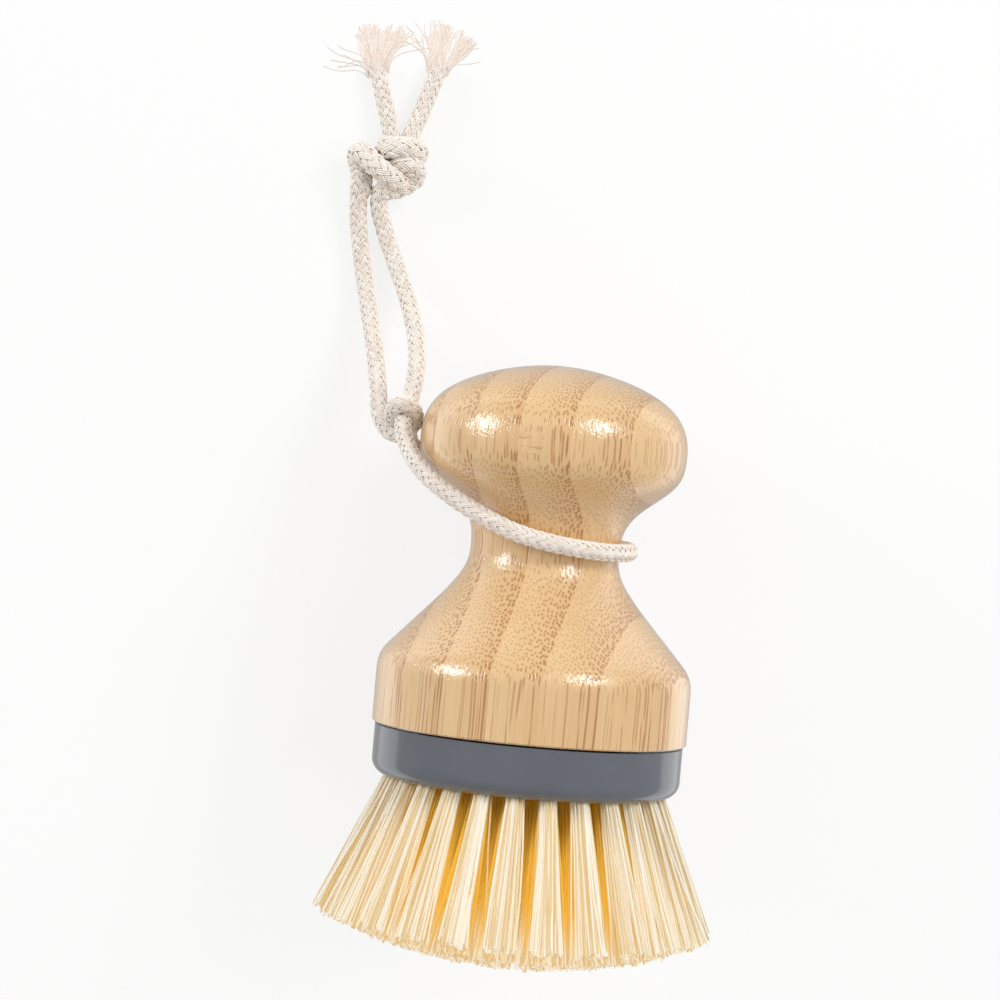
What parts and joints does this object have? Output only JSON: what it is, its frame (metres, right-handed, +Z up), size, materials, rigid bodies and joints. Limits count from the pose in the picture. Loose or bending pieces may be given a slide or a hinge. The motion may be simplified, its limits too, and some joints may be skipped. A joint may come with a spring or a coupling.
{
  "type": "dish brush",
  "caption": "Round palm dish brush with a turned bamboo knob handle, a grey bristle plate of splayed tufts and a cotton hanging cord tied round its waist.",
  "frame": {"origin": "on the table under the middle of the lying brush's box, the cord left out", "axes": "+Z up from the table, +Y along the lying brush towards its knob, +X to the right"},
  "size_m": [0.085, 0.1729, 0.0753],
  "materials": {
    "bamboo": "laminated bamboo, satin lacquer",
    "plate_plastic": "moulded polypropylene, semi-gloss slate grey",
    "filament": "translucent cream filament, trimmed tips",
    "steel": "bright steel",
    "cotton": "natural braided cotton, frayed ends"
  },
  "bodies": {
    "cord": {"cord_left_fray": "cotton", "cord_left_tail": "cotton", "cord_end_knot": "cotton", "cord_left_strand": "cotton", "cord_half_knot": "cotton", "cord_neck_loop": "cotton", "cord_right_strand": "cotton", "cord_right_tail": "cotton", "cord_right_fray": "cotton"},
    "brush": {"handle": "bamboo", "bristle_plate": "plate_plastic", "fixing_screw": "steel", "tuft_anchors": "steel", "outer_tuft_01": "filament", "outer_tuft_02": "filament", "outer_tuft_03": "filament", "outer_tuft_04": "filament", "outer_tuft_05": "filament", "outer_tuft_06": "filament", "outer_tuft_07": "filament", "outer_tuft_08": "filament", "outer_tuft_09": "filament", "outer_tuft_10": "filament", "outer_tuft_11": "filament", "outer_tuft_12": "filament", "outer_tuft_13": "filament", "outer_tuft_14": "filament", "outer_tuft_15": "filament", "outer_tuft_16": "filament", "outer_tuft_17": "filament", "outer_tuft_18": "filament", "outer_tuft_19": "filament", "outer_tuft_20": "filament", "outer_tuft_21": "filament", "outer_tuft_22": "filament", "outer_tuft_23": "filament", "outer_tuft_24": "filament", "outer_tuft_25": "filament", "outer_tuft_26": "filament", "second_row_tufts": "filament", "third_row_tufts": "filament", "inner_row_tufts": "filament"}
  },
  "joints": [
    {"name": "brush_turn", "type": "hinge", "parent": "cord", "child": "brush", "pos_m": [0, 0.02077, 0.028], "axis": [0, 0.9905, -0.1376], "continuous": true}
  ]
}
